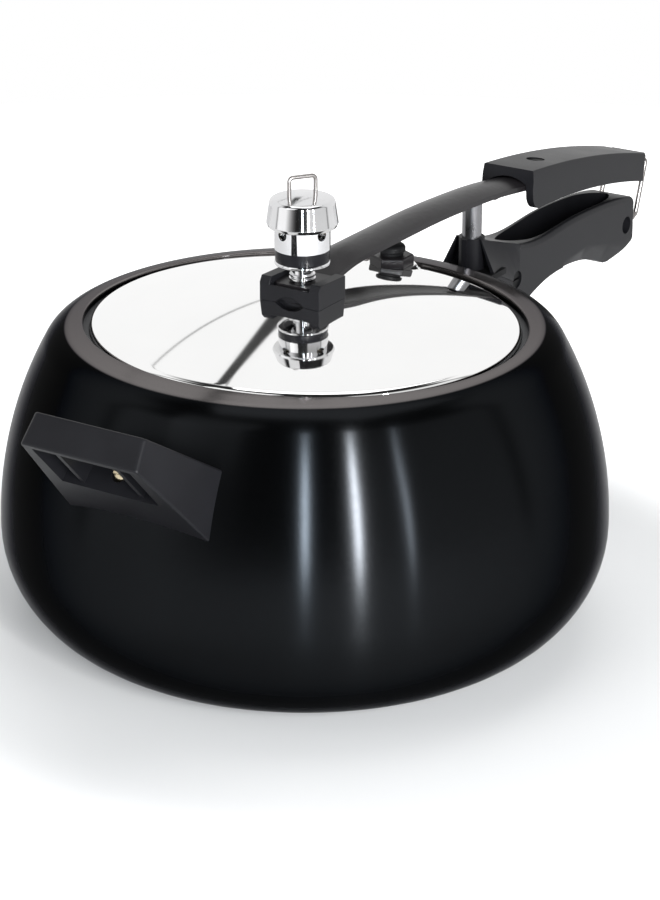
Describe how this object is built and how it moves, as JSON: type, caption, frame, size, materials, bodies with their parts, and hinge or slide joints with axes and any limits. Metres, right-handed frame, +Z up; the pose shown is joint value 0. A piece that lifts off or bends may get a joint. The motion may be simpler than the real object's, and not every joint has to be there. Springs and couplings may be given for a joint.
{
  "type": "stovetop pressure cooker",
  "caption": "Dark hard-anodised stovetop pressure cooker with a polished inside-fitting lid on a lever bar, two long handles and a wire lock loop",
  "frame": {"origin": "centre of the flat base, on the plane it stands on", "axes": "+X towards the long handles, +Y to the left of them seen from the pot, +Z up"},
  "size_m": [0.4221, 0.24, 0.1852],
  "materials": {
    "anodised": "satin hard-anodised aluminium, near black",
    "steel": "bright plated steel",
    "polished_steel": "mirror-polished stainless steel",
    "plastic": "black phenolic moulding, soft sheen",
    "rubber": "black rubber",
    "brass": "turned brass",
    "valve_black": "black-coated hexagon",
    "painted_bar": "black enamel, semi-gloss"
  },
  "bodies": {
    "cooker": {"pot_body": "anodised", "handle_bracket": "steel", "bracket_rivets": "steel", "fulcrum_post": "steel", "body_handle": "plastic", "body_handle_bolt": "steel", "body_handle_nut": "steel", "helper_handle": "plastic", "helper_handle_stud": "steel", "helper_handle_screw": "brass"},
    "lever": {"lid_bar": "painted_bar", "lid_handle": "plastic", "lid_handle_screw": "steel", "lid_handle_nut": "steel"},
    "lid": {"lid": "polished_steel", "lid_gasket": "rubber", "lid_saddle": "plastic", "steam_vent": "polished_steel", "vent_seal": "rubber", "vent_nut": "brass", "safety_valve": "valve_black", "safety_plug": "steel", "safety_seal": "rubber", "safety_nut": "brass"},
    "regulator": {"regulator_body": "polished_steel", "regulator_ring": "polished_steel", "regulator_band": "plastic", "regulator_clip": "steel", "regulator_cap": "polished_steel", "lifting_loop": "steel"},
    "needle": {"regulator_needle": "brass", "regulator_spring": "steel"},
    "lock_loop": {"lock_loop": "steel"}
  },
  "joints": [
    {"name": "bar_lift", "type": "hinge", "parent": "cooker", "child": "lever", "pos_m": [0.1295, 0, 0.1403], "axis": [0, -1, 0], "range_deg": [0, 6]},
    {"name": "lid_level", "type": "hinge", "parent": "lever", "child": "lid", "pos_m": [-0.0018, 0, 0.1419], "axis": [0, -1, 0], "range_deg": [-6, 0]},
    {"name": "loop_swing", "type": "hinge", "parent": "lever", "child": "lock_loop", "pos_m": [0.273, 0, 0.125], "axis": [0, -1, 0], "range_deg": [0, 90]},
    {"name": "regulator_lift", "type": "slide", "parent": "lid", "child": "regulator", "axis": [0, 0, 1], "range_m": [0, 0.03]},
    {"name": "needle_lift", "type": "slide", "parent": "regulator", "child": "needle", "axis": [0, 0, 1], "range_m": [0, 0.002], "stiffness_N_per_m": 500, "deforming": ["regulator_spring"]}
  ],
  "couplings": [
    {"joint": "lid_level", "follows": "bar_lift", "ratio": -1},
    {"joint": "loop_swing", "follows": "bar_lift", "ratio": 15}
  ]
}
